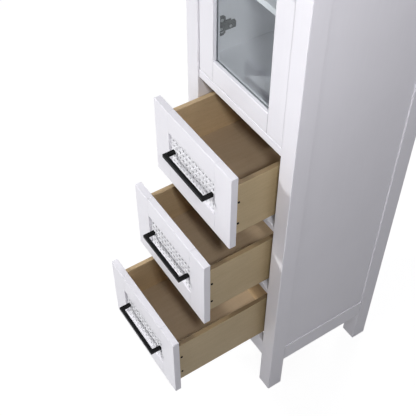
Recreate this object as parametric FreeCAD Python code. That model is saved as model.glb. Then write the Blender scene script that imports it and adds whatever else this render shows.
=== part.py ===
import FreeCAD, Part
import os

os.makedirs("parts", exist_ok=True)
V = FreeCAD.Vector

# A tall free-standing linen cabinet: a glazed door above three drawers.
# Millimetres. X runs to the right, Y to the back, Z up. The origin is on
# the floor, under the middle of the four legs. The door is drawn closed and
# the drawers are drawn pulled out, the lowest one furthest.

# Carcass
WIDTH = 457.0
DEPTH = 406.0
HEIGHT = 1830.0
POST = 50.8
POST_EASE = 2.0
EASE = 1.0
TOP_T = 20.0
TOP_OVERHANG = 8.0
LEG_CLEAR = 140.0
APRON_H = 69.0
APRON_T = 22.0
RAIL_H = 20.0
RAIL_SET_BACK = 4.0
DOOR_SILL_H = 25.0
TOP_RAIL_H = 45.0
SIDE_RAIL_H = APRON_H
LINER_T = 12.0
PANEL_T = 6.0
PANEL_SET_BACK = 4.0
GROOVE = 8.0
GROOVE_PLAY = 0.2
BACK_RAIL_T = 20.0
DECK_T = 28.0
SHELF_T = 15.9
SHELF_PLAY = 1.0
SHELF_SET_BACK = 7.0
DOOR_STOP_GAP = 2.0
PIN_D = 5.0
PIN_PLAY = 0.1
PIN_IN = 8.0
PIN_OUT = 10.0
PIN_FROM_END = 40.0

# Fronts: the door and the drawer fronts lie flush in the front openings
FRONT_T = 20.0
FRONT_GAP = 3.0
OPENING_H = 252.5

# Door
DOOR_FRAME = 60.0
GLASS_T = 4.0
GLASS_IN = 10.0
REBATE = 10.0
GLASS_PLAY = 0.5
DOOR_PULL_SHARE = 0.69

# Concealed hinges: each stands at a share of the height of its shelf space
HINGE_LOW_SHARE = 0.328
HINGE_HIGH_SHARE = 0.367
CUP_R = 17.5
CUP_DEPTH = 11.5
CUP_WALL = 1.0
CUP_FROM_EDGE = 22.5
CUP_PLAY = 0.2
FLANGE_T = 1.5
FLANGE_H = 62.0
FLANGE_W = 24.0
FLANGE_RIM = 2.0
PLATE_T = 2.5
PLATE_START = 52.0
PLATE_L = 46.0
PLATE_BODY_H = 24.0
WING_REACH = 29.0
WING_START = 60.0
WING_L = 22.0
WING_EASE = 6.0
ARM_T = 11.0
ARM_H = 20.0
ARM_EASE = 2.0
ARM_TIP_X = 30.0
ARM_TIP_T = 6.0
ARM_END_Y = 106.0
ARM_CLEAR = 0.8

# Drawers, from the top one down
TOP_DRAWER_OUT = 139.0
MIDDLE_DRAWER_OUT = 215.0
LOW_DRAWER_OUT = 316.0
FRONT_FRAME = 68.0
CANE_T = 6.0
CANE_SET_BACK = 5.5
CANE_GROOVE = 8.0
CANE_PITCH_X = 15.3
CANE_PITCH_Z = 17.6
CANE_HOLE = 3.2
CANE_HOLE_DEPTH = 3.5
BOX_CLEAR = 18.7
BOX_L = 350.0
BOX_H = 176.0
BOX_UP = 25.0
BOX_SIDE_T = 14.0
BOX_FRONT_T = 20.0
BOX_FRONT_H = 154.0
BOX_BOTTOM_T = 5.0
BOX_BOTTOM_UP = 41.5
BOX_GROOVE = 6.0
BOX_PLAY = 0.2

# Bar pull: its feet stand on the panel, this far inside the front frame
PULL_INSET = 17.7
PULL_W = 10.0
PULL_H = 11.0
PULL_OUT = 34.0
PULL_EASE = 0.8

# Screws
SCREW_D = 4.0
SCREW_HEAD_D = 7.0
SCREW_HEAD_T = 2.2
SCREW_HEAD_EASE = 0.6
SCREW_PLAY = 0.05
SIDE_SCREW_L = 32.0
SIDE_SCREW_Y = 14.5
SIDE_SCREW_SHARE = 0.25
PULL_SCREW_BITE = 8.0

# Slides, hidden under the drawer bottoms
SLIDE_SHORT = 50.0
SLIDE_PLAY = 0.5
SLIDE_START = 2.0
SLIDE_IN = 11.0
LIP_UP = 8.0
CHANNEL_T = 2.0
CHANNEL_DROP = 4.0
CHANNEL_FLANGE_H = 30.0
TONGUE_T = 3.0
MID_W = 13.0
MID_WALL = 1.5

# Derived places
half = WIDTH / 2
open_half = half - POST
y_front = -DEPTH / 2
y_back = DEPTH / 2
y_post = y_front + POST
y_back_post = y_back - POST
y_face = y_front + RAIL_SET_BACK
z_top = HEIGHT - TOP_T
z_apron = LEG_CLEAR + APRON_H
pitch = OPENING_H + RAIL_H
z_sill = z_apron + 3 * OPENING_H + 2 * RAIL_H
z_door_open = z_sill + DOOR_SILL_H
z_deck = z_door_open + DECK_T
z_top_rail = z_top - TOP_RAIL_H
liner_out = open_half + LINER_T
front_half = open_half - FRONT_GAP
y_panel = y_back - PANEL_SET_BACK - PANEL_T
shelf_clear = (z_top - z_deck - 2 * SHELF_T) / 3
box_half = open_half - BOX_CLEAR
slide_x = box_half - BOX_SIDE_T - SLIDE_IN
window = front_half - FRONT_FRAME
window_tall = OPENING_H / 2 - FRONT_GAP - FRONT_FRAME
pull_foot = window - PULL_INSET


def box(x0, y0, z0, x1, y1, z1):
    """Plain block between two corners."""
    return Part.makeBox(x1 - x0, y1 - y0, z1 - z0, V(x0, y0, z0))


def eased(shape, size, axes="XYZ"):
    """The block with a small flat on each edge that runs along one of the axes."""
    edges = []
    for edge in shape.Edges:
        run = edge.Vertexes[1].Point - edge.Vertexes[0].Point
        letter = max(zip((abs(run.x), abs(run.y), abs(run.z)), "XYZ"))[1]
        if letter in axes:
            edges.append(edge)
    return shape.makeChamfer(size, edges)


def mirrored(shape):
    """The same piece on the other side of the cabinet."""
    return shape.mirror(V(0, 0, 0), V(1, 0, 0))


def rod(radius, start, end):
    """Round bar from one point to another."""
    run = V(*end) - V(*start)
    return Part.makeCylinder(radius, run.Length, V(*start), run)


def screw(under_head, direction, length):
    """Pan-head screw: the head sits on the point, the shank runs along the direction."""
    head = Part.makeCylinder(SCREW_HEAD_D / 2, SCREW_HEAD_T, under_head, direction * -1)
    head = head.makeChamfer(SCREW_HEAD_EASE, [head.Edges[0]])
    return head.fuse(Part.makeCylinder(SCREW_D / 2, length, under_head, direction))


def screw_bore(under_head, direction, length):
    """Round hole that takes a screw's shank with a little play."""
    radius = SCREW_D / 2 + SCREW_PLAY
    return Part.makeCylinder(radius, length + 2, under_head - direction, direction)


def save(name, *solids):
    """Write one node: one solid, or several separate ones as a group."""
    shape = solids[0] if len(solids) == 1 else Part.makeCompound(list(solids))
    shape.exportStep("parts/%s.step" % name)


# Corner posts: square legs, grooved for the side panels and the back panel
groove_x = (half - PANEL_SET_BACK - PANEL_T - GROOVE_PLAY, half - PANEL_SET_BACK + GROOVE_PLAY)
groove_z = (z_apron - GROOVE, z_top - SIDE_RAIL_H + GROOVE)
post_front = eased(box(open_half, y_front, 0, half, y_post, z_top), POST_EASE, "Z")
post_front = post_front.cut(
    box(groove_x[0], y_post - GROOVE, groove_z[0], groove_x[1], y_post + 1, groove_z[1]))
post_back = eased(box(open_half, y_back_post, 0, half, y_back, z_top), POST_EASE, "Z")
post_back = post_back.cut(
    box(groove_x[0], y_back_post - 1, groove_z[0], groove_x[1], y_back_post + GROOVE, groove_z[1]))
post_back = post_back.cut(
    box(open_half - 1, y_panel - GROOVE_PLAY, z_apron - GROOVE,
        open_half + GROOVE, y_panel + PANEL_T + GROOVE_PLAY, z_top + 1))
save("post_front_right", post_front)
save("post_front_left", mirrored(post_front))
save("post_back_right", post_back)
save("post_back_left", mirrored(post_back))

# Top board: rests on the posts, a little proud at the front and the sides
top = box(-half - TOP_OVERHANG, y_front - TOP_OVERHANG, z_top,
          half + TOP_OVERHANG, y_back, HEIGHT)
save("top_board", eased(top, POST_EASE))


def front_rail(z0, z1, depth):
    """Rail between the front posts, set back a little from their faces."""
    return eased(box(-open_half, y_face, z0, open_half, y_face + depth, z1), EASE, "X")


# Front rails: over and under the door, between the drawers, and the apron
rail_depth = POST - RAIL_SET_BACK
save("rail_top_front", front_rail(z_top_rail, z_top, APRON_T))
save("rail_under_door", front_rail(z_sill, z_door_open, rail_depth))
save("rail_drawer_upper", front_rail(z_sill - pitch, z_sill - OPENING_H, rail_depth))
save("rail_drawer_lower", front_rail(z_sill - 2 * pitch, z_sill - pitch - OPENING_H, rail_depth))
save("apron_front", front_rail(LEG_CLEAR, z_apron, APRON_T))

# Side rails: between the front and back posts, grooved for the side panel
rail_low = box(liner_out, y_post, LEG_CLEAR, half, y_back_post, z_apron)
rail_low = rail_low.cut(
    box(groove_x[0], y_post - 1, z_apron - GROOVE, groove_x[1], y_back_post + 1, z_apron + 1))
rail_high = box(liner_out, y_post, z_top - SIDE_RAIL_H, half, y_back_post, z_top)
rail_high = rail_high.cut(
    box(groove_x[0], y_post - 1, z_top - SIDE_RAIL_H - 1,
        groove_x[1], y_back_post + 1, z_top - SIDE_RAIL_H + GROOVE))
save("side_rails", rail_low, rail_high, mirrored(rail_low), mirrored(rail_high))

# Side panels: thin flat boards in the grooves
tuck = GROOVE - GROOVE_PLAY
side_panel = box(half - PANEL_SET_BACK - PANEL_T, y_post - tuck, z_apron - tuck,
                 half - PANEL_SET_BACK, y_back_post + tuck, z_top - SIDE_RAIL_H + tuck)
save("side_panel_right", side_panel)
save("side_panel_left", mirrored(side_panel))

# Inner side boards: flush with the posts, bored for the shelf pins
liner = box(open_half, y_post, LEG_CLEAR, liner_out, y_back_post, z_top)
shelf_z = [z_deck + shelf_clear, z_deck + 2 * shelf_clear + SHELF_T]
pins = []
for z in shelf_z:
    for y in (y_post + PIN_FROM_END, y_back_post - PIN_FROM_END):
        at = z - PIN_D / 2
        liner = liner.cut(rod(PIN_D / 2 + PIN_PLAY, (open_half - 1, y, at),
                              (open_half + PIN_IN + PIN_PLAY, y, at)))
        pin = rod(PIN_D / 2, (open_half - PIN_OUT, y, at), (open_half + PIN_IN, y, at))
        pins += [pin, mirrored(pin)]
save("liner_right", liner)
save("liner_left", mirrored(liner))
save("shelf_pins", *pins)

# Back: a rail between the back legs and a thin panel in the post grooves
back_rail = box(-open_half, y_back - BACK_RAIL_T, LEG_CLEAR, open_half, y_back, z_apron)
back_rail = back_rail.cut(
    box(-open_half - 1, y_panel - GROOVE_PLAY, z_apron - GROOVE,
        open_half + 1, y_panel + PANEL_T + GROOVE_PLAY, z_apron + 1))
save("back_rail", back_rail)
save("back_panel", box(-open_half - tuck, y_panel, z_apron - tuck,
                       open_half + tuck, y_panel + PANEL_T, z_top))

# Deck: floor of the glazed compartment, also the stop the door closes on
y_deck = y_face + FRONT_T + DOOR_STOP_GAP
save("deck", eased(box(-open_half, y_deck, z_door_open, open_half, y_panel, z_deck), EASE, "X"))

# Shelves: loose boards that rest on the pins
shelf_half = open_half - SHELF_PLAY
for name, z in zip(("shelf_lower", "shelf_upper"), shelf_z):
    shelf = box(-shelf_half, y_post + SHELF_SET_BACK, z, shelf_half, y_panel - SHELF_PLAY, z + SHELF_T)
    save(name, eased(shelf, EASE, "X"))

# Door frame: two stiles and two rails with a rebate behind for the glass
door_z0 = z_door_open + FRONT_GAP
door_z1 = z_top_rail - FRONT_GAP
door_back = y_face + FRONT_T
sight_half = front_half - DOOR_FRAME
pocket_half = sight_half + REBATE
sight_z = (door_z0 + DOOR_FRAME, door_z1 - DOOR_FRAME)
pocket_z = (sight_z[0] - REBATE, sight_z[1] + REBATE)
pocket = box(-pocket_half, y_face + GLASS_IN, pocket_z[0], pocket_half, door_back + 1, pocket_z[1])
stile = eased(box(sight_half, y_face, door_z0, front_half, door_back, door_z1), EASE).cut(pocket)
stile_left = mirrored(stile)
hinge_z = (z_deck + HINGE_LOW_SHARE * shelf_clear, z_top - (1 - HINGE_HIGH_SHARE) * shelf_clear)
cup_x = -front_half + CUP_FROM_EDGE
for z in hinge_z:
    stile_left = stile_left.cut(
        rod(CUP_R + CUP_PLAY, (cup_x, door_back - CUP_DEPTH - CUP_PLAY, z), (cup_x, door_back + 1, z)))

# Bar pull: a square bar on two square feet, drawn along X with its feet on Y = 0
pull_half = pull_foot + PULL_W / 2


def bar_pull():
    """Pull centred on the origin, standing out towards the front."""
    pull = eased(box(-pull_half, -PULL_OUT, -PULL_H / 2, pull_half, -PULL_OUT + PULL_W, PULL_H / 2),
                 PULL_EASE)
    for x in (-pull_foot, pull_foot):
        foot = box(x - PULL_W / 2, -PULL_OUT + PULL_W / 2, -PULL_H / 2, x + PULL_W / 2, 0, PULL_H / 2)
        pull = pull.fuse(eased(foot, PULL_EASE, "Y"))
    for x in (-pull_foot, pull_foot):
        pull = pull.cut(rod(SCREW_D / 2 + SCREW_PLAY, (x, 1, 0), (x, -PULL_SCREW_BITE - 1, 0)))
    return pull.removeSplitter()


# Door pull: upright on the free stile, with two screws from behind
door_pull_x = front_half - DOOR_FRAME / 2
door_pull_z = door_z0 + DOOR_PULL_SHARE * (door_z1 - door_z0)
door_pull = bar_pull()
door_pull.rotate(V(0, 0, 0), V(0, 1, 0), 90)
door_pull.translate(V(door_pull_x, y_face, door_pull_z))
door_screws = []
for z in (door_pull_z - pull_foot, door_pull_z + pull_foot):
    at = V(door_pull_x, door_back, z)
    length = FRONT_T + PULL_SCREW_BITE
    stile = stile.cut(screw_bore(at, V(0, -1, 0), length))
    door_screws.append(screw(at, V(0, -1, 0), length))
save("door_stile_right", stile)
save("door_stile_left", stile_left)
save("door_handle", door_pull)
save("door_screws", *door_screws)
for name, z0, z1 in (("door_rail_bottom", door_z0, sight_z[0]), ("door_rail_top", sight_z[1], door_z1)):
    rail = eased(box(-sight_half, y_face, z0, sight_half, door_back, z1), EASE, "X")
    save(name, rail.cut(pocket))

# Glass in the rebate, and the four beads that hold it from behind
y_glass = y_face + GLASS_IN
glass_half = pocket_half - GLASS_PLAY
save("door_glass", box(-glass_half, y_glass, pocket_z[0] + GLASS_PLAY,
                       glass_half, y_glass + GLASS_T, pocket_z[1] - GLASS_PLAY))
y_bead = y_glass + GLASS_T
bead_side = box(sight_half, y_bead, pocket_z[0], pocket_half, door_back, pocket_z[1])
save("door_beads", bead_side, mirrored(bead_side),
     box(-sight_half, y_bead, pocket_z[0], sight_half, door_back, sight_z[0]),
     box(-sight_half, y_bead, sight_z[1], sight_half, door_back, pocket_z[1]))

# Hinges: cup in the door, plate on the inner side board, arm on the plate
cups = []
plates = []
arms = []
wall = -open_half
for z in hinge_z:
    cup = rod(CUP_R, (cup_x, door_back - CUP_DEPTH, z), (cup_x, door_back, z))
    ears = box(cup_x - FLANGE_W / 2, door_back, z - FLANGE_H / 2,
               cup_x + FLANGE_W / 2, door_back + FLANGE_T, z + FLANGE_H / 2)
    ears = ears.fuse(rod(CUP_R + FLANGE_RIM, (cup_x, door_back, z), (cup_x, door_back + FLANGE_T, z)))
    hollow = rod(CUP_R - CUP_WALL, (cup_x, door_back - CUP_DEPTH + CUP_WALL, z),
                 (cup_x, door_back + FLANGE_T + 1, z))
    cups.append(cup.fuse(ears).cut(hollow).removeSplitter())
    y_plate = y_front + PLATE_START
    y_wing = y_front + WING_START
    plate = box(wall, y_plate, z - PLATE_BODY_H / 2, wall + PLATE_T, y_plate + PLATE_L, z + PLATE_BODY_H / 2)
    wings = box(wall, y_wing, z - WING_REACH, wall + PLATE_T, y_wing + WING_L, z + WING_REACH)
    plates.append(plate.fuse(eased(wings, WING_EASE, "X")).removeSplitter())
    arm_x = wall + PLATE_T
    arm_y = door_back + FLANGE_T + ARM_CLEAR
    arm = eased(box(arm_x, arm_y, z - ARM_H / 2, arm_x + ARM_T, y_front + ARM_END_Y, z + ARM_H / 2),
                ARM_EASE, "Y")
    tip_half = ARM_H / 2 - ARM_EASE
    tip = box(arm_x + ARM_EASE, arm_y, z - tip_half, wall + ARM_TIP_X, arm_y + ARM_TIP_T, z + tip_half)
    arms.append(arm.fuse(tip).removeSplitter())
save("hinge_cups", *cups)
save("hinge_plates", *plates)
save("hinge_arms", *arms)


def cane_panel(y, z):
    """Moulded cane-pattern panel: a grid of eight-sided pockets, one per mesh of the weave.

    y is the front surface, z the middle height. As many whole meshes as the
    frame's window shows are cut, and those under the pull's feet stay solid.
    """
    reach = CANE_GROOVE - GROOVE_PLAY
    wide = window + reach
    tall = window_tall + reach
    columns = int((window - CANE_HOLE) / CANE_PITCH_X)
    rows = int((window_tall - CANE_HOLE) / CANE_PITCH_Z)
    foot_reach = CANE_HOLE + PULL_W / 2
    panel = box(-wide, y, z - tall, wide, y + CANE_T, z + tall)
    pockets = []
    flat = CANE_HOLE * 0.4142
    corners = ((CANE_HOLE, flat), (flat, CANE_HOLE), (-flat, CANE_HOLE), (-CANE_HOLE, flat),
               (-CANE_HOLE, -flat), (-flat, -CANE_HOLE), (flat, -CANE_HOLE), (CANE_HOLE, -flat))
    for column in range(-columns, columns + 1):
        for row in range(-rows, rows + 1):
            if row == 0 and abs(abs(column) * CANE_PITCH_X - pull_foot) < foot_reach:
                continue
            centre = V(column * CANE_PITCH_X, y, z + row * CANE_PITCH_Z)
            ring = [centre + V(a, 0, b) for a, b in corners]
            face = Part.Face(Part.makePolygon(ring + ring[:1]))
            pockets.append(face.extrude(V(0, CANE_HOLE_DEPTH, 0)))
    return panel.cut(Part.makeCompound(pockets))


def slide_set(z):
    """Right-hand slide of one drawer, closed: fixed channel, middle member and drawer rail."""
    floor = z - CHANNEL_DROP
    start = y_post + SLIDE_START
    end = start + BOX_L - SLIDE_SHORT
    left = slide_x - MID_W / 2
    right = slide_x + MID_W / 2
    under = z + BOX_BOTTOM_UP
    mid_top = under - CHANNEL_T - SLIDE_PLAY
    inner_top = mid_top - MID_WALL
    channel = box(left, start, floor - CHANNEL_T, open_half, end, floor)
    channel = channel.fuse(box(open_half - CHANNEL_T, start, floor - CHANNEL_T,
                               open_half, end, floor - CHANNEL_T + CHANNEL_FLANGE_H))
    channel = channel.fuse(box(slide_x - TONGUE_T / 2, start, floor,
                               slide_x + TONGUE_T / 2, end, inner_top - SLIDE_PLAY))
    middle = box(left, start, floor + SLIDE_PLAY, right, end, mid_top)
    middle = middle.cut(box(left + MID_WALL, start - 1, floor, right - MID_WALL, end + 1, inner_top))
    wall_in = MID_W / 2 + SLIDE_PLAY
    wall_out = wall_in + MID_WALL
    rail = box(slide_x - wall_out, start, z + LIP_UP, slide_x + wall_out, end, under)
    rail = rail.cut(box(slide_x - wall_in, start - 1, z, slide_x + wall_in, end + 1, under - CHANNEL_T))
    return channel.removeSplitter(), middle, rail


# Drawers: front frame with the cane panel, box, pull, screws and slides
channels = []
for number, out in enumerate((TOP_DRAWER_OUT, MIDDLE_DRAWER_OUT, LOW_DRAWER_OUT), start=1):
    name = "drawer_%d_" % number
    y = y_face - out
    z0 = z_sill - number * pitch + RAIL_H + FRONT_GAP
    z1 = z0 + OPENING_H - 2 * FRONT_GAP
    z_mid = (z0 + z1) / 2
    z_box = z0 + BOX_UP

    # Front frame, grooved all round its inside for the panel
    cane_y = y + CANE_SET_BACK
    slot = box(-window - CANE_GROOVE, cane_y - GROOVE_PLAY, z0 + FRONT_FRAME - CANE_GROOVE,
               window + CANE_GROOVE, cane_y + CANE_T + GROOVE_PLAY, z1 - FRONT_FRAME + CANE_GROOVE)
    stile_r = eased(box(window, y, z0, front_half, y + FRONT_T, z1), EASE).cut(slot)
    rail_b = eased(box(-window, y, z0, window, y + FRONT_T, z0 + FRONT_FRAME), EASE, "X").cut(slot)
    rail_t = eased(box(-window, y, z1 - FRONT_FRAME, window, y + FRONT_T, z1), EASE, "X").cut(slot)
    save(name + "front_frame", stile_r, mirrored(stile_r), rail_b, rail_t)

    # Box: sides outside, a lower inner front and the back between them, bottom in grooves
    y_box = y + FRONT_T
    y_end = y_box + BOX_L
    inner = box_half - BOX_SIDE_T
    z_bottom = z_box + BOX_BOTTOM_UP
    bottom_slot = box(-inner - BOX_GROOVE, y_box + BOX_FRONT_T - BOX_GROOVE, z_bottom - BOX_PLAY,
                      inner + BOX_GROOVE, y_end + 1, z_bottom + BOX_BOTTOM_T + BOX_PLAY)
    side = eased(box(inner, y_box, z_box, box_half, y_end, z_box + BOX_H), EASE, "Y").cut(bottom_slot)
    box_front = box(-inner, y_box, z_box, inner, y_box + BOX_FRONT_T, z_box + BOX_FRONT_H).cut(bottom_slot)
    box_back = box(-inner, y_end - BOX_SIDE_T, z_bottom + BOX_BOTTOM_T, inner, y_end, z_box + BOX_H)
    fit = BOX_GROOVE - BOX_PLAY
    save(name + "box_bottom", box(-inner - fit, y_box + BOX_FRONT_T - fit, z_bottom,
                                  inner + fit, y_end, z_bottom + BOX_BOTTOM_T))

    # Screws: two through each side into the inner front, two from inside into the pull
    screws = []
    for share in (SIDE_SCREW_SHARE, 1 - SIDE_SCREW_SHARE):
        at = V(box_half, y_box + SIDE_SCREW_Y, z_box + share * BOX_FRONT_H)
        bore = screw_bore(at, V(-1, 0, 0), SIDE_SCREW_L)
        side = side.cut(bore)
        box_front = box_front.cut(bore).cut(mirrored(bore))
        shank = screw(at, V(-1, 0, 0), SIDE_SCREW_L)
        screws += [shank, mirrored(shank)]
    panel = cane_panel(cane_y, z_mid)
    pull_length = FRONT_T + BOX_FRONT_T - CANE_SET_BACK + PULL_SCREW_BITE
    for x in (-pull_foot, pull_foot):
        at = V(x, y_box + BOX_FRONT_T, z_mid)
        bore = screw_bore(at, V(0, -1, 0), pull_length)
        box_front = box_front.cut(bore)
        panel = panel.cut(bore)
        screws.append(screw(at, V(0, -1, 0), pull_length))
    pull = bar_pull()
    pull.translate(V(0, cane_y, z_mid))
    save(name + "box_sides", side, mirrored(side))
    save(name + "box_ends", box_front, box_back)
    save(name + "screws", *screws)
    save(name + "cane_panel", panel)
    save(name + "handle", pull)

    # Slides: the middle members have moved half as far as the drawer
    channel, middle, rail = slide_set(z_box)
    middle.translate(V(0, -out / 2, 0))
    rail.translate(V(0, -out, 0))
    channels += [channel, mirrored(channel)]
    save(name + "slide_mids", middle, mirrored(middle))
    save(name + "slide_rails", rail, mirrored(rail))
save("runner_channels", *channels)
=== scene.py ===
import bpy
import numpy as np
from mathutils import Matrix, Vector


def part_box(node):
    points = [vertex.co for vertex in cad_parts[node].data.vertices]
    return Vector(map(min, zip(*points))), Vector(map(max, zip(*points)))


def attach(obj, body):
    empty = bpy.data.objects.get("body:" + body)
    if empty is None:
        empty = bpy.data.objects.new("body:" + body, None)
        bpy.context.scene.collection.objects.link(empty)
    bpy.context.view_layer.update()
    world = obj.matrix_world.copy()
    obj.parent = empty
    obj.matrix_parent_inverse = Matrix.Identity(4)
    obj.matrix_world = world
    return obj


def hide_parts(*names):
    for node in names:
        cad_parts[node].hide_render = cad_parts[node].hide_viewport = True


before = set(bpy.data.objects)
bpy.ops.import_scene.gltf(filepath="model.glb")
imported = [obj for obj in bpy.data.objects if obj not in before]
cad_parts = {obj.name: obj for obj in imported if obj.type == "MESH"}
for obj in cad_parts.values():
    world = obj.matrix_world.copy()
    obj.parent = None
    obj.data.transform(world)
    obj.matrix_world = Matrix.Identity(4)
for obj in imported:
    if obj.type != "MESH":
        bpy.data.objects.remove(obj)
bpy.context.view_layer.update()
bpy.context.scene.view_settings.view_transform = "Standard"


# Corner posts. Four square lengths of hardwood that run from under the top board to
# the floor as legs. Their edges are rounded over, and they are sprayed satin white.
class Shade:
    """One socket of a material: sums and products add Math nodes, node() adds any other."""

    def __init__(self, tree, socket=None):
        self.tree = tree
        self.socket = socket

    def node(self, kind, settings, inputs, out=0):
        """New node: its settings first, then a value or a link for each named socket."""
        made = self.tree.nodes.new("ShaderNode" + kind)
        for key, value in settings.items():
            setattr(made, key, value)
        for key, value in inputs.items():
            if isinstance(value, Shade):
                self.tree.links.new(value.socket, made.inputs[key])
            else:
                made.inputs[key].default_value = value
        return Shade(self.tree, made.outputs[out] if made.outputs else None)

    def math(self, operation, *values):
        """Math node of that operation on values or sockets."""
        return self.node("Math", {"operation": operation}, dict(enumerate(values)))

    def __add__(self, other):
        return self.math("ADD", self, other)

    def __sub__(self, other):
        return self.math("SUBTRACT", self, other)

    def __rsub__(self, other):
        return self.math("SUBTRACT", other, self)

    def __mul__(self, other):
        return self.math("MULTIPLY", self, other)

    def __pow__(self, other):
        return self.math("POWER", self, other)

    def __abs__(self):
        return self.math("ABSOLUTE", self)

    __radd__ = __add__
    __rmul__ = __mul__

    def blend(self, low, high):
        """Colour between two colours, or colour sockets, at this value."""
        return self.node("Mix", {"data_type": "RGBA"}, {0: self, 6: low, 7: high}, out=2)

    def step(self, start, end):
        """0 below start, 1 above end, and a smooth ramp between."""
        return self.node("MapRange", {"interpolation_type": "SMOOTHSTEP"},
                         {"Value": self, "From Min": start, "From Max": end})


def finish_of(name):
    """A new material: itself, its main shader, and the object coordinates to draw with."""
    material = bpy.data.materials.new(name)
    material.use_nodes = True
    tree = material.node_tree
    shader = tree.nodes["Principled BSDF"]
    return material, shader, Shade(tree).node("TexCoord", {}, {}, out="Object")


def feed(shader, **values):
    """Sets or links the main shader's sockets, with _ for a space in a socket's name."""
    for key, value in values.items():
        socket = shader.inputs[key.replace("_", " ")]
        if isinstance(value, Shade):
            value.tree.links.new(value.socket, socket)
        else:
            socket.default_value = value


ALONG = {"X": (1, 0, 0), "Y": (0, 1, 0), "Z": (0, 0, 1)}


def fibres(place, grain, length, thickness, detail=3.0):
    """Noise drawn out along the grain: cells of that length and thickness, in metres."""
    run = np.array(ALONG[grain])
    scale = run / length + (1 - run) / thickness
    drawn = place.node("Mapping", {}, {"Vector": place, "Scale": tuple(scale)})
    return place.node("TexNoise", {}, {"Vector": drawn, "Scale": 1.0, "Detail": detail})


def speckle(place, size, detail=2.0):
    """Even noise with cells of about that size, in metres."""
    return place.node("TexNoise", {}, {"Vector": place, "Scale": 1.0 / size, "Detail": detail})


JOINT_LINE = (0.0011, 0.0007)


def white_paint(grain, joint=0.0):
    """Sprayed satin paint on wood: a fine orange peel, a trace of the grain below it, and
    a slow drift in tone and gloss. A board that butts against others at the distance joint
    on both sides of the middle has a fine dark line in the paint there."""
    name = "white_paint_" + grain.lower() + ("_jointed" if joint else "")
    material, shader, place = finish_of(name)
    drift = speckle(place, 0.21, 3.0)
    grain_trace = fibres(place, grain, 0.12, 0.0035)
    peel = speckle(place, 0.0016)
    tone = (drift * 0.7 + grain_trace * 0.3).step(0.3, 0.7)
    height = peel * 0.55 + grain_trace * 0.45
    soft_edge = place.node("Bevel", {"samples": 4}, {"Radius": 0.0012})
    bump = place.node("Bump", {}, {"Strength": 0.22, "Distance": 0.0003, "Height": height,
                                   "Normal": soft_edge})
    colour = tone.blend((0.797, 0.79, 0.82, 1), (0.832, 0.825, 0.855, 1))
    if joint:
        x = place.node("SeparateXYZ", {}, {"Vector": place}, out="X")
        line = abs(x).step(joint - JOINT_LINE[0], joint - JOINT_LINE[1])
        colour = line.blend(colour, (0.5, 0.495, 0.515, 1))
    feed(shader, Base_Color=colour, Roughness=0.36 + drift * 0.1 + peel * 0.06, Normal=bump)
    return material


PAINT = {axis: white_paint(axis) for axis in "XYZ"}


def board(low, high, ease_low, ease_high):
    """Block with rounded edges as points, faces and normals.

    Each point of the plain block's skin goes back to the nearest point of an inner block,
    which is smaller by the edge radius on every side, and out again from there by that
    radius, in the direction it came. The radii may differ from side to side.
    """
    low, high = np.array(low, float), np.array(high, float)
    ease_low = np.maximum(np.broadcast_to(ease_low, 3), 1e-5)
    ease_high = np.maximum(np.broadcast_to(ease_high, 3), 1e-5)
    turn = 1 - np.tan(np.radians([45, 30, 15, 0]))
    lines = [np.concatenate([low[a] + ease_low[a] * turn, high[a] - ease_high[a] * turn[::-1]])
             for a in range(3)]
    points, faces = [], []
    count = len(turn) * 2
    corner = (np.arange(count - 1)[:, None] * count + np.arange(count - 1)).ravel()
    quads = np.stack([corner, corner + count, corner + count + 1, corner + 1], 1)
    for a in range(3):
        b, c = (a + 1) % 3, (a + 2) % 3
        for value, order in ((low[a], -1), (high[a], 1)):
            skin = np.empty((count, count, 3))
            skin[..., a] = value
            skin[..., b] = lines[b][:, None]
            skin[..., c] = lines[c][None, :]
            faces.append(quads[:, ::order] + len(points) * count * count)
            points.append(skin.reshape(-1, 3))
    points, faces = np.concatenate(points), np.concatenate(faces)
    _, first, back = np.unique(np.round(points, 7), axis=0, return_index=True, return_inverse=True)
    skin = points[first]
    inner = np.clip(skin, low + ease_low, high - ease_high)
    radius = np.where(skin < inner, ease_low, ease_high)
    out = (skin - inner) / radius
    out /= np.linalg.norm(out, axis=1, keepdims=True)
    normals = out / radius
    normals /= np.linalg.norm(normals, axis=1, keepdims=True)
    return inner + out * radius, back.ravel()[faces], normals


def joined(*shapes):
    """Several shapes as one: points, faces and normals set one after the other."""
    starts = np.cumsum([0] + [len(s[0]) for s in shapes[:-1]])
    return (np.concatenate([s[0] for s in shapes]),
            np.concatenate([s[1] + n for s, n in zip(shapes, starts)]),
            np.concatenate([s[2] for s in shapes]))


def add_piece(name, shape, material, body, slot, *nodes):
    """Makes an object of a shape, on its body, in place of the named solids."""
    points, faces, normals = shape
    mesh = bpy.data.meshes.new(name)
    mesh.from_pydata(points.tolist(), [], faces.tolist())
    mesh.polygons.foreach_set("use_smooth", np.ones(len(faces), bool))
    mesh.normals_split_custom_set_from_vertices(normals.tolist())
    mesh.materials.append(material)
    piece = bpy.data.objects.new(name, mesh)
    bpy.context.scene.collection.objects.link(piece)
    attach(piece, body)
    if nodes:
        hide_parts(*nodes)


def dress(material, *nodes):
    """Gives solids that keep their shape their finish."""
    for node in nodes:
        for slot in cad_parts[node].material_slots:
            slot.material = material


POST_ROUND = (0.0025, 0.0025, 0.0008)
for corner in ("front_left", "front_right", "back_left", "back_right"):
    post = board(*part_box("post_" + corner), POST_ROUND, POST_ROUND)
    add_piece("painted_post_" + corner, post, PAINT["Z"], "carcass", "white_paint",
              "post_" + corner)


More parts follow.
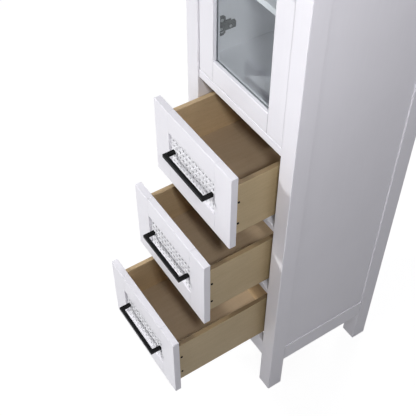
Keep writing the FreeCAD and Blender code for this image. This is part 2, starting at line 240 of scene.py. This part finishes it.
# Front rails and apron. Straight painted boards, dowelled between the front posts a little
# behind their faces, with their long edges rounded over.
RAIL_ROUND = (0.0003, 0.0018, 0.0018)
for rail in ("rail_top_front", "rail_under_door", "rail_drawer_upper", "rail_drawer_lower",
             "apron_front"):
    add_piece("painted_" + rail, board(*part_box(rail), RAIL_ROUND, RAIL_ROUND),
              PAINT["X"], "carcass", "white_paint", rail)


# Sides and back. Thin flat panels in the grooves of posts and rails, painted with them.
# The side rails lie flush with the posts, and their edge to the panel is rounded over.
(rail_x0, rail_y0, rail_z0), (rail_x1, rail_y1, rail_z1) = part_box("side_rails")
rail_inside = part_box("liner_right")[1][0]
rail_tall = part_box("apron_front")[1][2] - rail_z0
SIDE_ROUND = (0.0012, 0.0003, 0.0015)
side_boards = []
for z0, z1 in ((rail_z0, rail_z0 + rail_tall), (rail_z1 - rail_tall, rail_z1)):
    for x0, x1 in ((rail_inside, rail_x1), (rail_x0, -rail_inside)):
        side_boards.append(board((x0, rail_y0, z0), (x1, rail_y1, z1), SIDE_ROUND, SIDE_ROUND))
add_piece("painted_side_rails", joined(*side_boards), PAINT["Y"], "carcass", "white_paint",
          "side_rails")
dress(PAINT["Z"], "side_panel_left", "side_panel_right", "back_panel")
dress(PAINT["X"], "back_rail")


# Top board. One wide board glued to the posts, proud of them at the front and the sides,
# with all its edges rounded over.
TOP_ROUND = 0.0025
add_piece("painted_top", board(*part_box("top_board"), TOP_ROUND, TOP_ROUND),
          PAINT["X"], "carcass", "white_paint", "top_board")


# Inside of the carcass. Painted side boards, the deck that the door closes against, and
# two loose shelves that rest on steel pins.
def plated_steel(name, dark, light):
    """Plated sheet steel: fine crystal mottle in tone and gloss over a drawn surface."""
    material, shader, place = finish_of(name)
    mottle = speckle(place, 0.003, 4.0)
    drawn = fibres(place, "Y", 0.05, 0.0004)
    tone = (mottle * 0.6 + drawn * 0.4).step(0.3, 0.7)
    bump = place.node("Bump", {}, {"Strength": 0.15, "Distance": 0.0001, "Height": drawn})
    feed(shader, Base_Color=tone.blend(dark, light), Metallic=1.0,
         Roughness=0.28 + mottle * 0.16, Normal=bump)
    return material


STEEL = plated_steel("zinc_plate", (0.46, 0.465, 0.47, 1), (0.62, 0.625, 0.63, 1))
SHELF_ROUND = (0.0003, 0.0015, 0.0015)
for shelf in ("deck", "shelf_lower", "shelf_upper"):
    add_piece("painted_" + shelf, board(*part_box(shelf), SHELF_ROUND, SHELF_ROUND),
              PAINT["X"], "carcass", "white_paint", shelf)
dress(PAINT["Z"], "liner_left", "liner_right")
dress(STEEL, "shelf_pins", "runner_channels")


# Hinges. Pressed-steel plates screwed to the side board, arms clipped on them, and cups
# let into the back of the door. The screws have cross-recessed pan heads.
def screw_heads(places, facing, radius, height):
    """Cross-recessed pan heads, all facing one way.

    A disc of rings and spokes is raised to a flat dome that falls away at the rim, and a
    cross with sloping ends is pressed into it.
    """
    facing = np.array(facing, float)
    side = np.cross(facing, (0.0, 0.0, 1.0))
    up = np.cross(side, facing)
    ring = np.array([0.0, 0.1, 0.2, 0.3, 0.4, 0.5, 0.6, 0.75, 0.88, 0.96, 1.0, 1.0])[:, None]
    angle = np.linspace(0, 2 * np.pi, 33)[None, :-1]
    across, along = ring * np.cos(angle), ring * np.sin(angle)
    dome = height * (1 - 0.28 * ring ** 2 - 0.3 * ring ** 10)
    arm = np.clip((0.2 - np.minimum(abs(across), abs(along))) / 0.08, 0, 1)
    end = np.clip((0.68 - ring) / 0.3, 0, 1)
    rise = dome - 0.75 * height * arm * end
    rise[-1] = 0.0
    grid = radius * (across[..., None] * side + along[..., None] * up) + rise[..., None] * facing
    count = grid.shape[1]
    row = np.arange(len(grid) - 1)[:, None] * count
    now, after = np.arange(count), (np.arange(count) + 1) % count
    quads = np.stack([row + now, row + count + now, row + count + after, row + after], -1)
    tangent = np.roll(grid, -1, 1) - np.roll(grid, 1, 1)
    outward = np.gradient(grid, axis=0)
    normals = np.cross(outward, tangent)
    normals[0] = facing
    normals /= np.maximum(np.linalg.norm(normals, axis=2, keepdims=True), 1e-12)
    points, quads, normals = grid.reshape(-1, 3), quads.reshape(-1, 4), normals.reshape(-1, 3)
    return joined(*[(points + place, quads, normals) for place in np.array(places, float)])


WING_TALL, WING_BACK, WING_SCREW = 0.029, 0.019, 0.016
ARM_RISE, ARM_SCREWS = 0.0135, (-0.010, 0.019)
WING_HEAD, ARM_HEAD = (0.0046, 0.0018), (0.0040, 0.0014)
NICKEL = plated_steel("dark_nickel", (0.055, 0.055, 0.057, 1), (0.17, 0.17, 0.172, 1))
(plate_x, plate_y, plate_z0), (plate_face, _, plate_z1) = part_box("hinge_plates")
wing_y = plate_y + WING_BACK
heads, caps = [], []
for hinge_z in (plate_z0 + WING_TALL, plate_z1 - WING_TALL):
    heads += [(plate_face, wing_y, hinge_z + shift) for shift in (-WING_SCREW, WING_SCREW)]
    caps += [(plate_x + ARM_RISE, wing_y + shift, hinge_z) for shift in ARM_SCREWS]
add_piece("hinge_wing_screws", screw_heads(heads, (1, 0, 0), *WING_HEAD), STEEL, "carcass", "steel")
add_piece("hinge_arm_screws", screw_heads(caps, (1, 0, 0), *ARM_HEAD), STEEL, "carcass", "steel")
dress(NICKEL, "hinge_plates", "hinge_arms", "hinge_cups")


# Door frame. Two painted stiles and two rails, rebated behind for the glass. Painted beads
# hold the pane from behind. Along the opening's edge, their front carries a dark strip of
# painted shade, which shows as a line through the glass.
# Dark strip of painted shade on the beads: its width, its depth behind the glass, its soft edge.
SHADE_LINE_WIDE, SHADE_LINE_DEEP, SHADE_LINE_EDGE = 0.0021, 0.0006, 0.0002


def bead_with_shade_line(glass_back, sight_x, sight_low, sight_high):
    """White paint, and a dark strip of painted shade on the bead's face against the glass, along
    the
    edge of the opening: the strip shows where the point is near the glass, and at most its
    width outside."""
    material, shader, place = finish_of("bead_with_shade_line")
    drift = speckle(place, 0.02, 3.0)
    x, y, z = (place.node("SeparateXYZ", {}, {"Vector": place}, out=axis) for axis in "XYZ")
    beside = abs(x).step(sight_x + SHADE_LINE_WIDE, sight_x + SHADE_LINE_WIDE + SHADE_LINE_EDGE)
    behind = y.step(glass_back + SHADE_LINE_DEEP, glass_back + SHADE_LINE_DEEP + SHADE_LINE_EDGE)
    above = z.step(sight_high + SHADE_LINE_WIDE, sight_high + SHADE_LINE_WIDE + SHADE_LINE_EDGE)
    below = 1 - z.step(sight_low - SHADE_LINE_WIDE - SHADE_LINE_EDGE, sight_low - SHADE_LINE_WIDE)
    # Painted shade: near black where the bead lies against the glass behind the opening's edge.
    shade_line = (1 - beside) * (1 - behind) * (1 - above) * (1 - below)
    paint = drift.step(0.3, 0.7).blend((0.795, 0.79, 0.818, 1), (0.83, 0.825, 0.852, 1))
    feed(shader, Base_Color=shade_line.blend(paint, (0.11, 0.111, 0.115, 1)),
         Roughness=0.4 + drift * 0.12)
    return material


pane_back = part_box("door_beads")[0][1]
opening_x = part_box("door_stile_right")[0][0]
opening_low, opening_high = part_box("door_rail_bottom")[1][2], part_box("door_rail_top")[0][2]
dress(PAINT["Z"], "door_stile_left", "door_stile_right")
dress(white_paint("X", opening_x), "door_rail_top", "door_rail_bottom")
dress(bead_with_shade_line(pane_back, opening_x, opening_low, opening_high), "door_beads")


# Glass. One clear flat pane, 4 mm thick, in the rebate. It lets most light through and
# mirrors more of it the flatter it is seen.
HEAD_ON = 0.04
glass = bpy.data.materials.new("clear_glass")
glass.use_nodes = True
glass_tree = glass.node_tree
glass_tree.nodes.clear()
pane = Shade(glass_tree)
mirror = pane.node("BsdfGlossy", {}, {"Color": (0.67, 0.708, 0.727, 1), "Roughness": 0.01})
clear = pane.node("BsdfTransparent", {}, {"Color": (0.967, 0.987, 0.986, 1)})
slant = pane.node("LayerWeight", {}, {"Blend": 0.5}, out="Facing")
share = slant ** 5 * (1 - HEAD_ON) + HEAD_ON
mixed = pane.node("MixShader", {}, {0: share, 1: clear, 2: mirror})
pane.node("OutputMaterial", {}, {"Surface": mixed})
dress(glass, "door_glass")


# Bar pulls. Square black bars on two square feet, die-cast and powder-coated: a fine even
# grain that scatters the light a little. Two screws from behind hold the one on the door.
def black_coat():
    """Matt black powder coat: grains about a third of a millimetre wide, and faint rubbing."""
    material, shader, place = finish_of("black_coat")
    grains = speckle(place, 0.00035)
    rub = speckle(place, 0.02, 4.0)
    soft_edge = place.node("Bevel", {"samples": 4}, {"Radius": 0.0008})
    bump = place.node("Bump", {}, {"Strength": 0.3, "Distance": 0.00008, "Height": grains,
                                   "Normal": soft_edge})
    colour = rub.step(0.35, 0.7).blend((0.0035, 0.0035, 0.0037, 1), (0.006, 0.006, 0.0063, 1))
    feed(shader, Base_Color=colour, Roughness=0.48 + grains * 0.14, Specular_IOR_Level=0.12,
         Normal=bump)
    return material


BLACK = black_coat()
SCREW_RISE = 0.0022
dress(BLACK, "door_handle", "drawer_1_handle", "drawer_2_handle", "drawer_3_handle")
door_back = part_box("door_stile_right")[1][1]
(pull_x0, _, pull_z0), (pull_x1, _, pull_z1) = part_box("door_screws")
pull_x = (pull_x0 + pull_x1) / 2
screw_r = (pull_x1 - pull_x0) / 2
door_screws = [(pull_x, door_back, pull_z0 + screw_r), (pull_x, door_back, pull_z1 - screw_r)]
add_piece("door_pull_screws", screw_heads(door_screws, (0, 1, 0), screw_r, SCREW_RISE),
          BLACK, "door", "black_metal", "door_screws")


# Drawer fronts. Flat painted frames: two stiles, and two rails between them, glued so that
# only a fine line shows at each joint. The outer edges are rounded over.
FRAME = 0.068
STILE_INNER, STILE_OUTER = (0.0010, 0.0013, 0.0022), (0.0022, 0.0013, 0.0022)
CROSS_INNER, CROSS_OUTER = (0.0008, 0.0013, 0.0008), (0.0008, 0.0013, 0.0022)
for k in "123":
    (x0, y0, z0), (x1, y1, z1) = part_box("drawer_%s_front_frame" % k)
    side_x = x1 - FRAME
    uprights = joined(board((-x1, y0, z0), (-side_x, y1, z1), STILE_OUTER, STILE_INNER),
                      board((side_x, y0, z0), (x1, y1, z1), STILE_INNER, STILE_OUTER))
    crosses = joined(board((-side_x, y0, z0), (side_x, y1, z0 + FRAME), CROSS_OUTER, CROSS_INNER),
                     board((-side_x, y0, z1 - FRAME), (side_x, y1, z1), CROSS_INNER, CROSS_OUTER))
    add_piece("drawer_%s_stiles" % k, uprights, PAINT["Z"], "drawer_" + k, "white_paint",
              "drawer_%s_front_frame" % k)
    add_piece("drawer_%s_rails" % k, crosses, PAINT["X"], "drawer_" + k, "white_paint")


# Cane panels. Open cane webbing in the six-way weave, painted white, over a thin board greyed
# with painted shade: pairs of upright and level strands, and single strands on both diagonals
# between them.
# The feet of the pull stand on two small flat pads in the web.
MESH_X, MESH_Z = 0.0153, 0.0176
PAIR = 0.0028
STRAND = np.array([0.0026, 0.00030])
DIAGONAL = np.array([0.0025, 0.00026])
WAVE, CROSS_WAVE = 0.00042, 0.00072
UPRIGHT_STEPS, LEVEL_STEPS, DIAGONAL_STEPS, AROUND = 49, 97, 65, 8
SHORTEST = 0.004
TUCK, WEB_DEEP, BACKING_DEEP = 0.003, 0.0011, 0.0024
PAD_X, PAD_Z, PAD_FRONT, PAD_BACK, PAD_ROUND = 0.006, 0.0065, 0.0001, 0.004, 0.0008
PULL_HALF = 0.005


def strands(start, end, rise, size, count):
    """Flat strands between points of the panel's plane, as closed ribbons.

    start and end are rows of x and z. Along each strand the rise gives how far the weave
    lifts it, and across it a flat oval of the given half width and half thickness is drawn.
    """
    share = np.linspace(0, 1, count)[None, :, None]
    line = start[:, None] * (1 - share) + end[:, None] * share
    run = end - start
    run = run / np.linalg.norm(run, axis=1, keepdims=True)
    across = np.stack([-run[:, 1], run[:, 0]], 1)
    angle = np.linspace(0, 2 * np.pi, AROUND + 1)[:-1]
    flat = np.sign(np.cos(angle)) * abs(np.cos(angle)) ** 0.7 * size[0]
    crown = np.sin(angle) * size[1]
    lift = rise(line)
    points = np.empty((len(start), count, AROUND, 3))
    points[..., 0] = line[:, :, None, 0] + across[:, None, None, 0] * flat
    points[..., 2] = line[:, :, None, 1] + across[:, None, None, 1] * flat
    points[..., 1] = -(lift[:, :, None] + crown)
    normals = np.empty_like(points)
    normals[..., 0] = across[:, None, None, 0] * np.cos(angle)
    normals[..., 2] = across[:, None, None, 1] * np.cos(angle)
    normals[..., 1] = -np.sin(angle) * 1.6
    normals /= np.linalg.norm(normals, axis=-1, keepdims=True)
    strip = (np.arange(len(start)) * count * AROUND)[:, None, None]
    ring = strip + (np.arange(count - 1) * AROUND)[None, :, None]
    now, after = np.arange(AROUND), (np.arange(AROUND) + 1) % AROUND
    ahead = ring + AROUND
    quads = np.stack([ring + now, ring + after, ahead + after, ahead + now], -1)
    return points.reshape(-1, 3), quads.reshape(-1, 4), normals.reshape(-1, 3)


def slanted(offsets, slope, reach):
    """Ends of the lines z / MESH_Z = slope * x / MESH_X + offset inside the panel's reach."""
    x_at = np.stack([(s * reach[1] / MESH_Z - offsets) / slope * MESH_X for s in (-1, 1)], 1)
    x0 = np.maximum(x_at.min(1), -reach[0])
    x1 = np.minimum(x_at.max(1), reach[0])
    keep = x1 - x0 > SHORTEST
    ends = [np.stack([x, (slope * x / MESH_X + offsets) * MESH_Z], 1)[keep] for x in (x0, x1)]
    return ends[0], ends[1]


def cane_web(reach):
    """The whole web about its own middle, a mesh at the centre.

    Upright and level pairs go over and under each other in turn, as sines with a half wave
    to each mesh. One diagonal goes over the uprights and under the levels, the other the
    reverse.
    """
    columns = int(reach[0] / MESH_X + 0.5)
    rows = int(reach[1] / MESH_Z + 0.5)
    shapes = []
    for shift in (-PAIR, PAIR):
        for i in range(-columns, columns):
            x = (i + 0.5) * MESH_X + shift
            lift = WAVE * (-1) ** i
            shapes.append(strands(np.array([[x, -reach[1]]]), np.array([[x, reach[1]]]),
                                  lambda p: lift * np.sin(np.pi * p[..., 1] / MESH_Z),
                                  STRAND, UPRIGHT_STEPS))
        for j in range(-rows, rows):
            z = (j + 0.5) * MESH_Z + shift
            lift = -WAVE * (-1) ** j
            shapes.append(strands(np.array([[-reach[0], z]]), np.array([[reach[0], z]]),
                                  lambda p: lift * np.sin(np.pi * p[..., 0] / MESH_X),
                                  STRAND, LEVEL_STEPS))
    offsets = np.arange(-columns - rows - 1, columns + rows + 1) + 0.5
    for slope in (1, -1):
        start, end = slanted(offsets, slope, reach)
        lift = -slope * CROSS_WAVE
        shapes.append(strands(start, end, lambda p: lift * np.cos(2 * np.pi * p[..., 0] / MESH_X),
                              DIAGONAL, DIAGONAL_STEPS))
    return joined(*shapes)


def painted_cane():
    """White paint on cane, lighter than on the frames: painted light against the shade of the
    recess.
    It fills the strands' fine ribs, which show only as a faint unevenness, and its tone and
    gloss drift slowly."""
    material, shader, place = finish_of("painted_cane")
    ribs = speckle(place, 0.0006)
    drift = speckle(place, 0.03, 3.0)
    bump = place.node("Bump", {}, {"Strength": 0.25, "Distance": 0.0001, "Height": ribs})
    colour = drift.step(0.3, 0.7).blend((0.865, 0.865, 0.885, 1), (0.9, 0.9, 0.92, 1))
    feed(shader, Base_Color=colour, Roughness=0.42 + drift * 0.12, Normal=bump)
    return material


def backing_painted_shade():
    """Backing board: white paint drawn duller and greyer than the strands, painted shade for the
    holes.
    """
    material, shader, place = finish_of("backing_painted_shade")
    drift = speckle(place, 0.02, 3.0)
    colour = drift.step(0.3, 0.7).blend((0.52, 0.52, 0.535, 1), (0.57, 0.57, 0.585, 1))
    feed(shader, Base_Color=colour, Roughness=0.6 + drift * 0.1)
    return material


# The cane's white is lighter than the frames': painted light that offsets the recess's shade.
CANE = painted_cane()
# The backing's grey is painted shade that darkens the holes of the web.
HOLE_SHADE = backing_painted_shade()
for k in "123":
    low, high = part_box("drawer_%s_cane_panel" % k)
    frame_low, frame_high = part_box("drawer_%s_front_frame" % k)
    mid = (low[2] + high[2]) / 2
    wide = frame_high[0] - FRAME + TUCK
    tall = (frame_high[2] - frame_low[2]) / 2 - FRAME + TUCK
    points, quads, normals = cane_web((wide, tall))
    points = points + (0, low[1] + WEB_DEEP, mid)
    backing = board((-wide, low[1] + BACKING_DEEP, mid - tall), (wide, high[1], mid + tall), 0, 0)
    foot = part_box("drawer_%s_handle" % k)[1][0] - PULL_HALF
    pads = [board((x - PAD_X, low[1] + PAD_FRONT, mid - PAD_Z),
                  (x + PAD_X, low[1] + PAD_BACK, mid + PAD_Z), PAD_ROUND, PAD_ROUND)
            for x in (-foot, foot)]
    add_piece("drawer_%s_cane" % k, joined((points, quads, normals), *pads), CANE,
              "drawer_" + k, "white_paint", "drawer_%s_cane_panel" % k)
    add_piece("drawer_%s_cane_backing" % k, backing, HOLE_SHADE, "drawer_" + k, "white_paint")


# Drawer boxes. Sides, inner front and back of solid light hardwood and a plywood bottom in
# grooves, clear lacquered, with the grain along each board.
BANDS_A_METRE, BAND_WANDER = 46.0, 5.0


def bare_wood(name, grain, across, left, right, edge=0.0):
    """Light hardwood: slow growth bands that wander across the board, fine fibres and short
    dark pores along it. The boards left and right of the middle may differ in tone, a difference
    of painted light rather than of wood; and the upward faces of those on the right may be
    darker by the given share: painted shade."""
    material, shader, place = finish_of("bare_wood_" + name)
    wander = fibres(place, grain, 0.35, 0.05, 2.0)
    split = place.node("SeparateXYZ", {}, {"Vector": place}, out=across)
    turns = (split * BANDS_A_METRE + wander * BAND_WANDER) * (2 * np.pi)
    bands = turns.math("SINE", turns)
    fine = fibres(place, grain, 0.07, 0.0009, 4.0)
    pores = fibres(place, grain, 0.011, 0.00035, 1.0).step(0.62, 0.72)
    drift = speckle(place, 0.12)
    tone = (bands * 0.035 + fine * 0.45 + drift * 0.5 + wander * 0.2).step(0.25, 0.9)
    board_side = place.node("SeparateXYZ", {}, {"Vector": place}, out="X").step(-0.001, 0.001)
    colour = board_side.blend(tone.blend(*left), tone.blend(*right))
    colour = (pores * 0.45).blend(colour, (0.27, 0.19, 0.105, 1))
    # Painted shade: the upward faces of the boards right of the middle are darkened.
    if edge:
        normal = place.node("NewGeometry", {}, {}, out="Normal")
        upward = place.node("SeparateXYZ", {}, {"Vector": normal}, out="Z").step(0.6, 0.9)
        colour = (upward * board_side * edge).blend(colour, (0.2, 0.135, 0.07, 1))
    height = fine * 0.6 - pores * 0.5
    bump = place.node("Bump", {}, {"Strength": 0.3, "Distance": 0.0003, "Height": height})
    feed(shader, Base_Color=colour, Roughness=0.46 + fine * 0.16 + pores * 0.1, Normal=bump)
    return material


# WARM, on the boards seen from inside the boxes, is the same wood made warmer and brighter: painted
# bounce light. PALE is the tone of the outer right sides.
WARM = ((0.49, 0.355, 0.20, 1), (0.62, 0.465, 0.275, 1))
PALE = ((0.415, 0.318, 0.172, 1), (0.515, 0.402, 0.23, 1))
PLY = ((0.4, 0.302, 0.192, 1), (0.485, 0.373, 0.25, 1))
WOOD_SIDE = bare_wood("side", "Y", "Z", WARM, PALE, 0.8)
WOOD_END = bare_wood("end", "X", "Z", WARM, WARM)
WOOD_BOTTOM = bare_wood("bottom", "Y", "X", PLY, PLY)
for k in "123":
    dress(WOOD_SIDE, "drawer_%s_box_sides" % k)
    dress(WOOD_END, "drawer_%s_box_ends" % k)
    dress(WOOD_BOTTOM, "drawer_%s_box_bottom" % k)
    dress(STEEL, "drawer_%s_slide_rails" % k, "drawer_%s_slide_mids" % k)


# Drawer screws. Two black screws through each side into the inner front, and two from
# inside that hold the pull.
SCREW_IN, SCREW_LEVELS, INNER_FRONT = 0.0145, (0.0385, 0.1155), 0.020
BOX_HEAD = (0.0035, SCREW_RISE)
for k in "123":
    side_low, side_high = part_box("drawer_%s_box_sides" % k)
    bar_low, bar_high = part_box("drawer_%s_handle" % k)
    y = side_low[1] + SCREW_IN
    levels = [side_low[2] + rise for rise in SCREW_LEVELS]
    right = screw_heads([(side_high[0], y, z) for z in levels], (1, 0, 0), *BOX_HEAD)
    left = screw_heads([(side_low[0], y, z) for z in levels], (-1, 0, 0), *BOX_HEAD)
    y, z = side_low[1] + INNER_FRONT, (bar_low[2] + bar_high[2]) / 2
    behind = screw_heads([(x, y, z) for x in (bar_low[0] + PULL_HALF, bar_high[0] - PULL_HALF)],
                         (0, 1, 0), *BOX_HEAD)
    add_piece("drawer_%s_screw_heads" % k, joined(right, left, behind), BLACK, "drawer_" + k,
              "black_metal", "drawer_%s_screws" % k)


# Floor. A plain paper sweep that keeps the cabinet's soft shadow. It is nearly white to the
# eye, and throws less light than that back up at the cabinet.
FLOOR_HALF, FLOOR_Z = 9, -0.0004
floor_mesh = bpy.data.meshes.new("floor")
corners = [(x * FLOOR_HALF, y * FLOOR_HALF, FLOOR_Z)
           for x, y in ((-1, -1), (1, -1), (1, 1), (-1, 1))]
floor_mesh.from_pydata(corners, [], [(0, 1, 2, 3)])
floor = bpy.data.objects.new("floor", floor_mesh)
bpy.context.scene.collection.objects.link(floor)
sweep = bpy.data.materials.new("white_sweep")
sweep.use_nodes = True
sweep.node_tree.nodes.clear()
paper = Shade(sweep.node_tree)


def seen(shade):
    """1 for what the eye, a mirror or a pane sees directly, 0 for the light that spreads."""
    path = shade.node("LightPath", {}, {}, out="Is Camera Ray")
    outs = path.socket.node.outputs
    glossy = Shade(shade.tree, outs["Is Glossy Ray"])
    through = Shade(shade.tree, outs["Is Transmission Ray"])
    return path.math("MAXIMUM", path, glossy.math("MAXIMUM", glossy, through))


matt = paper.node("BsdfDiffuse", {}, {"Color": (0.4, 0.4, 0.41, 1)})
pale = paper.node("BsdfDiffuse", {}, {"Color": (0.85, 0.85, 0.85, 1)})
bright = paper.node("Emission", {}, {"Color": (1, 1, 1, 1), "Strength": 1.09})
lit = paper.node("MixShader", {}, {0: 0.14, 1: bright, 2: pale})
surface = paper.node("MixShader", {}, {0: seen(paper), 1: matt, 2: lit})
paper.node("OutputMaterial", {}, {"Surface": surface})
floor_mesh.materials.append(sweep)


# Light. A small lamp far off at the front left draws the drawers' shadows on the leg, one
# close above on the right lights the side, broad ones before and behind the cabinet fill,
# and the surround does the rest.
world = bpy.data.worlds.new("surround")
bpy.context.scene.world = world
world.use_nodes = True
world.node_tree.nodes.clear()
sky = Shade(world.node_tree)
sky_colour = seen(sky).blend((0.094, 0.092, 0.109, 1), (1, 1, 1, 1))
background = sky.node("Background", {}, {"Color": sky_colour, "Strength": 1.0})
sky.node("OutputWorld", {}, {"Surface": background})
BROAD = 0.5


def lamp(name, kind, place, target, **settings):
    """Lamp at a place, turned to a target. Broad ones are kept out of the mirrored picture."""
    light = bpy.data.lights.new(name, kind)
    for key, value in settings.items():
        setattr(light, key, value)
    holder = bpy.data.objects.new(name, light)
    bpy.context.scene.collection.objects.link(holder)
    holder.location = place
    holder.visible_camera = False
    holder.visible_glossy = kind == "SUN" or settings["size"] < BROAD
    aim = Vector(target) - Vector(place)
    holder.rotation_euler = aim.to_track_quat("-Z", "Y").to_euler()


lamp("front_left", "SUN", (-3.2, -4.2, 3.6), (0, -0.2, 0.7), energy=1.6, angle=0.09)
lamp("near_right", "AREA", (1.13, -0.765, 2.12), (0.2, -0.2, 0.95), energy=13.8,
     shape="DISK", size=0.2, color=(0.98, 0.97, 1.0))
lamp("far_front", "AREA", (0.6, -2.8, 1.8), (0.1, -0.2, 0.8), energy=17.5,
     shape="DISK", size=1.5, color=(0.98, 0.97, 1.0))
lamp("near_front", "AREA", (-0.5, -1.3, 1.1), (-0.1, -0.3, 0.9), energy=2.4, shape="DISK", size=0.6)
lamp("far_back", "AREA", (-1.7, 3.2, 2.4), (0, 0.2, 1.0), energy=62.0, shape="DISK", size=1.5)


# Camera. Above and to the right of the open drawers, with a long lens, so that the cabinet's
# upper part and the back of its right side lie outside the picture.
eye = bpy.data.cameras.new("eye")
eye.lens = 67.085
eye.sensor_width = 36.0
camera = bpy.data.objects.new("eye", eye)
bpy.context.scene.collection.objects.link(camera)
camera.location = (1.16607, -1.04806, 2.26992)
gaze = Vector((-0.12987, -0.203, 0.54632)) - camera.location
camera.rotation_euler = gaze.to_track_quat("-Z", "Y").to_euler()
bpy.context.scene.camera = camera
